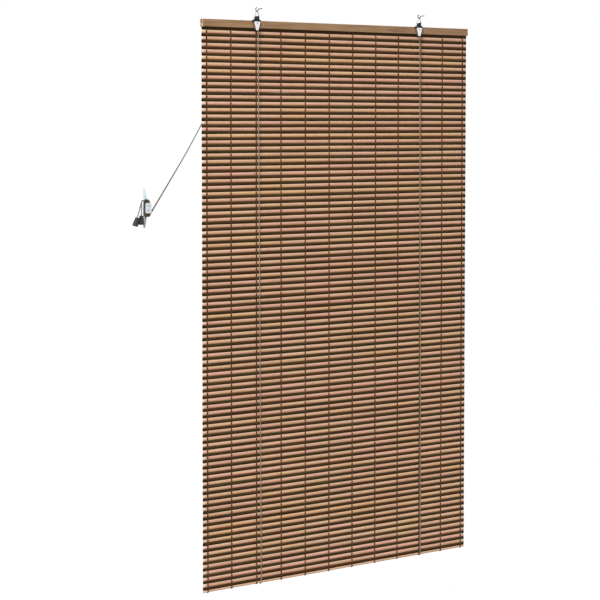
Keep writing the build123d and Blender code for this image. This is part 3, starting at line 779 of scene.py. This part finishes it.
def wraps(first_y, second_y):
    """Twice past the neck's lower end and once over its upper end."""
    crossing = WRAP_CROSS_SHARE * (second_y - first_y)
    return [
        (WRAP_RIGHT_X, first_y, WRAP_LOW_Z),
        (WRAP_LEFT_X, first_y, WRAP_LOW_Z),
        (WRAP_LEFT_X, first_y, WRAP_LOW_Z + WRAP_STEADY),
        (WRAP_LEFT_X, first_y, WRAP_TOP_Z - WRAP_STEADY),
        (WRAP_LEFT_X, first_y, WRAP_TOP_Z),
        (WRAP_RIGHT_X, first_y, WRAP_TOP_Z),
        (WRAP_RIGHT_X, first_y + crossing, WRAP_TOP_Z - WRAP_STEADY),
        (WRAP_RIGHT_X, second_y - crossing, WRAP_LOW_Z + WRAP_STEADY),
        (WRAP_RIGHT_X, second_y, WRAP_LOW_Z),
        (WRAP_LEFT_X, second_y, WRAP_LOW_Z),
        (WRAP_LEFT_X, second_y, WRAP_LOW_Z + WRAP_STEADY),
    ]


pull_routes = {
    "left": [
        (-300.6, WHEEL_Y, HEADER_BOTTOM_Z), (-300.6, WHEEL_Y, WHEEL_TOP_Z),
        (-311.4, WHEEL_Y, WHEEL_TOP_Z), (-311.4, WHEEL_Y, GUIDE_Z),
        (-311.4, 17.1, GUIDE_Z), (-311.4, 43.9, GUIDE_Z), (-311.4, 48.9, GUIDE_Z),
        (-319.1, 48.1, -59.4), (-482.0, 31.9, -330.0), (-664.9, 13.9, -558.7),
        *wraps(12.9, 7.3),
        (WRAP_LEFT_X, 7.3, LOOP_Z), (LOOP_X, 7.3, LOOP_Z), (LOOP_X, 7.6, -541.8), (LOOP_X, 8.4, -579.0),
    ],
    "right": [
        (311.4, WHEEL_Y, HEADER_BOTTOM_Z), (311.4, WHEEL_Y, WHEEL_TOP_Z),
        (300.6, WHEEL_Y, WHEEL_TOP_Z), (300.6, WHEEL_Y, GUIDE_Z),
        (300.6, 17.1, GUIDE_Z), (300.6, 43.9, GUIDE_Z), (300.6, 48.9, GUIDE_Z),
        (285.6, 48.8, -46.5), (-298.8, 43.4, -42.5), (-313.8, 43.3, -42.4),
        (-321.5, 42.6, -55.3), (-484.2, 28.4, -328.7), (-665.0, 11.0, -558.7),
        *wraps(10.1, 4.5),
        (WRAP_LEFT_X, 4.5, LOOP_Z), (LOOP_X, 4.5, LOOP_Z), (-705.4, 5.5, -541.2), (-717.3, 8.4, -583.0),
    ],
}
for side_name, route in pull_routes.items():
    pull, line = laid_cord(f"pull_line_{side_name}", route, cord_fibre)
    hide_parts(f"pull_cord_{side_name}")


# Rolled threads on the screw hooks
def hook_thread(name, hook_x):
    """A ridge wound round the hook's core, which rises at its start and fades out at the point."""
    turns = (SCREW_START_Y - SCREW_END_Y) / SCREW_PITCH
    steps = int(turns * SCREW_TURN_STEPS)
    points = []
    for step in range(steps + 1):
        y = SCREW_START_Y + (SCREW_END_Y - SCREW_START_Y) * step / steps
        angle = 2 * math.pi * turns * step / steps
        fade = min(1.0, (y - SCREW_END_Y) / (SCREW_POINT_Y - SCREW_END_Y))
        rise = max(0.0, min(fade, step / (SCREW_RUN_IN_SHARE * SCREW_TURN_STEPS)))
        core = SCREW_CORE * fade
        crest = core + (SCREW_CREST - SCREW_CORE) * rise
        root = core * SCREW_ROOT_SHARE
        for radius, share in ((root, SCREW_FOOT_SHARE), (crest, SCREW_TOP_SHARE),
                              (crest, -SCREW_TOP_SHARE), (root, -SCREW_FOOT_SHARE)):
            x = hook_x + radius * math.cos(angle)
            points.append((x, y + share * SCREW_PITCH, radius * math.sin(angle)))
    return mesh_object(name, points, tube_faces(steps + 1, 4, 0), hook_steel_shaded)


for side_name, hook_x in HOOKS.items():
    threads = hook_thread(f"hook_threads_{side_name}", MM * hook_x)
    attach(threads, "frame")


# Steel edges folded back from the plates to the header, in a darker tan than the plates as painted shade
def plate_fold(name, hook_x):
    """Two thin strips along the plate's slanted edges."""
    points, faces = [], []
    for way, low_z in FOLD_LOW_Z.items():
        faces += tube_faces(2, 4, len(points))
        for z in (FOLD_HIGH_Z, low_z):
            share = (PLATE_TOP - z) / (PLATE_TOP - PLATE_LOW)
            outer = PLATE_TOP_HALF + (PLATE_LOW_HALF - PLATE_TOP_HALF) * share
            inner = outer - FOLD_SHEET
            for x, y in ((outer, FOLD_FRONT_Y), (outer, FOLD_BACK_Y),
                         (inner, FOLD_BACK_Y), (inner, FOLD_FRONT_Y)):
                points.append((hook_x + way * x, y, z))
    return mesh_object(name, points, faces, fold_steel_shaded, smooth=False)


for side_name, hook_x in HOOKS.items():
    folds = plate_fold(f"plate_folds_{side_name}", MM * hook_x)
    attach(folds, "frame")

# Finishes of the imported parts
finishes = {
    "header_strip": header_timber, "header_batten": header_timber, "header_nails": zinc_metal,
    "pulley_screws": zinc_metal, "cleat": cleat_paint,
}
paired_finishes = {
    "pulley_housing": black_plastic, "pulley_faceplate": plate_metal, "pulley_wheel": wheel_plastic,
    "pulley_axle": zinc_metal, "hanging_ring": ring_metal, "screw_hook": hook_steel_shaded,
    "cord_guide": brass_metal, "tassel": tassel_plastic,
}
for side_name in HOOKS:
    for node, material in paired_finishes.items():
        finishes[f"{node}_{side_name}"] = material
for node, material in finishes.items():
    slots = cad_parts[node].data.materials
    slots.clear()
    slots.append(material)


# Pale floor below the blind
def floor_finish():
    """Pale grey that catches the shadow, almost white to the camera, mirrors and glass."""
    material, shader = new_material("pale_floor")
    shader.inputs["Base Color"].default_value = (FLOOR_GREY, FLOOR_GREY, FLOOR_GREY, 1.0)
    shader.inputs["Roughness"].default_value = 0.9
    white = add_node(material, "ShaderNodeEmission")
    blend = add_node(material, "ShaderNodeMixShader")
    link(material, span(material, seen_share(material), 0.0, FLOOR_WHITE_SHARE), blend.inputs[0])
    link(material, shader.outputs[0], blend.inputs[1])
    link(material, white.outputs[0], blend.inputs[2])
    link(material, blend.outputs[0], material.node_tree.nodes["Material Output"].inputs["Surface"])
    return material


floor_z = cad_low.z - FLOOR_DROP
corners = [(middle_x + across * FLOOR_HALF, along * FLOOR_HALF, floor_z)
           for across, along in ((-1, -1), (1, -1), (1, 1), (-1, 1))]
floor = mesh_object("floor", corners, [(0, 1, 2, 3)], floor_finish(), smooth=False)

# White surroundings, weaker as light than they look
world = bpy.data.worlds.new("studio")
world.use_nodes = True
bpy.context.scene.world = world
background = world.node_tree.nodes["Background"]
background.inputs["Color"].default_value = (1.0, 1.0, 1.0, 1.0)
link(world, span(world, seen_share(world), WORLD_STRENGTH, 1.0), background.inputs["Strength"])


# Soft lamps
def area_lamp(name, place, target, size, power):
    """A round lamp that faces the target."""
    lamp = bpy.data.lights.new(name, "AREA")
    lamp.shape = "DISK"
    lamp.size = size
    lamp.energy = power
    holder = bpy.data.objects.new(name, lamp)
    holder.location = place
    holder.rotation_euler = (Vector(target) - Vector(place)).to_track_quat("-Z", "Y").to_euler()
    bpy.context.collection.objects.link(holder)


centre = (middle_x, mat_mid_y, (header_bottom + mat_low.z) / 2)
area_lamp("key", KEY_PLACE, centre, KEY_SIZE, KEY_POWER)
area_lamp("back", BACK_PLACE, centre, BACK_SIZE, BACK_POWER)

# Camera
camera_data = bpy.data.cameras.new("camera")
camera_data.lens = CAMERA_LENS
camera_data.sensor_width = SENSOR_WIDTH
camera_data.shift_y = CAMERA_SHIFT_Y
camera = bpy.data.objects.new("camera", camera_data)
camera.location = CAMERA_PLACE
camera.rotation_euler = (math.radians(90 + CAMERA_PITCH), 0, math.radians(-CAMERA_YAW))
bpy.context.collection.objects.link(camera)
bpy.context.scene.camera = camera
bpy.context.scene.view_settings.view_transform = "Standard"
